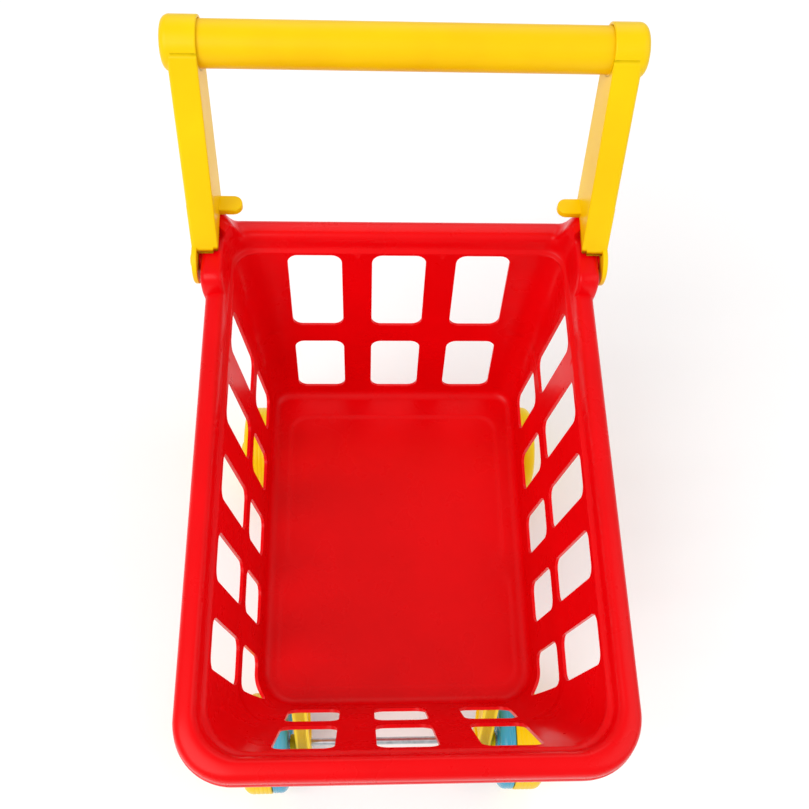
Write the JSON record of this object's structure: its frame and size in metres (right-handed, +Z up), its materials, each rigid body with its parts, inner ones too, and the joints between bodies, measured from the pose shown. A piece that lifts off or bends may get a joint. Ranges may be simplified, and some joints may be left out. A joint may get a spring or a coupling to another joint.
{
  "type": "toy shopping cart",
  "caption": "Child's plastic shopping cart: windowed basket on splayed legs, fixed push handle and free-rolling two-part wheels.",
  "frame": {"origin": "centre of the footprint, on the ground under the wheels", "axes": "+Z up, the front of the cart towards -Y and the handle towards +Y, +X to the right when the cart is seen from its front"},
  "size_m": [0.2824, 0.4102, 0.4849],
  "materials": {
    "red_plastic": "glossy moulded polypropylene, red",
    "yellow_plastic": "glossy moulded polypropylene, yellow",
    "blue_plastic": "glossy moulded polystyrene, light blue",
    "steel": "bright zinc-plated steel"
  },
  "bodies": {
    "cart": {"basket": "red_plastic", "handle_bar": "yellow_plastic", "handle_arm_left": "yellow_plastic", "handle_pin_left": "yellow_plastic", "bar_screw_left": "steel", "handle_arm_right": "yellow_plastic", "handle_pin_right": "yellow_plastic", "bar_screw_right": "steel", "front_axle": "steel", "front_leg_left": "yellow_plastic", "front_leg_screw_1_left": "steel", "front_leg_screw_2_left": "steel", "front_bush_left": "yellow_plastic", "front_axle_cap_left": "yellow_plastic", "front_leg_right": "yellow_plastic", "front_leg_screw_1_right": "steel", "front_leg_screw_2_right": "steel", "front_bush_right": "yellow_plastic", "front_axle_cap_right": "yellow_plastic", "back_axle": "steel", "back_leg_left": "yellow_plastic", "back_leg_screw_1_left": "steel", "back_leg_screw_2_left": "steel", "back_bush_left": "yellow_plastic", "back_axle_cap_left": "yellow_plastic", "back_leg_right": "yellow_plastic", "back_leg_screw_1_right": "steel", "back_leg_screw_2_right": "steel", "back_bush_right": "yellow_plastic", "back_axle_cap_right": "yellow_plastic"},
    "front_wheel_left": {"front_wheel_outer_left": "yellow_plastic", "front_wheel_inner_left": "blue_plastic"},
    "front_wheel_right": {"front_wheel_outer_right": "yellow_plastic", "front_wheel_inner_right": "blue_plastic"},
    "back_wheel_left": {"back_wheel_outer_left": "yellow_plastic", "back_wheel_inner_left": "blue_plastic"},
    "back_wheel_right": {"back_wheel_outer_right": "yellow_plastic", "back_wheel_inner_right": "blue_plastic"}
  },
  "joints": [
    {"name": "front_wheel_left_spin", "type": "hinge", "parent": "cart", "child": "front_wheel_left", "pos_m": [-0.105, -0.15737, 0.04], "axis": [1, 0, 0], "continuous": true},
    {"name": "front_wheel_right_spin", "type": "hinge", "parent": "cart", "child": "front_wheel_right", "pos_m": [0.105, -0.15737, 0.04], "axis": [1, 0, 0], "continuous": true},
    {"name": "back_wheel_left_spin", "type": "hinge", "parent": "cart", "child": "back_wheel_left", "pos_m": [-0.117, 0.10762, 0.04], "axis": [1, 0, 0], "continuous": true},
    {"name": "back_wheel_right_spin", "type": "hinge", "parent": "cart", "child": "back_wheel_right", "pos_m": [0.117, 0.10762, 0.04], "axis": [1, 0, 0], "continuous": true}
  ]
}
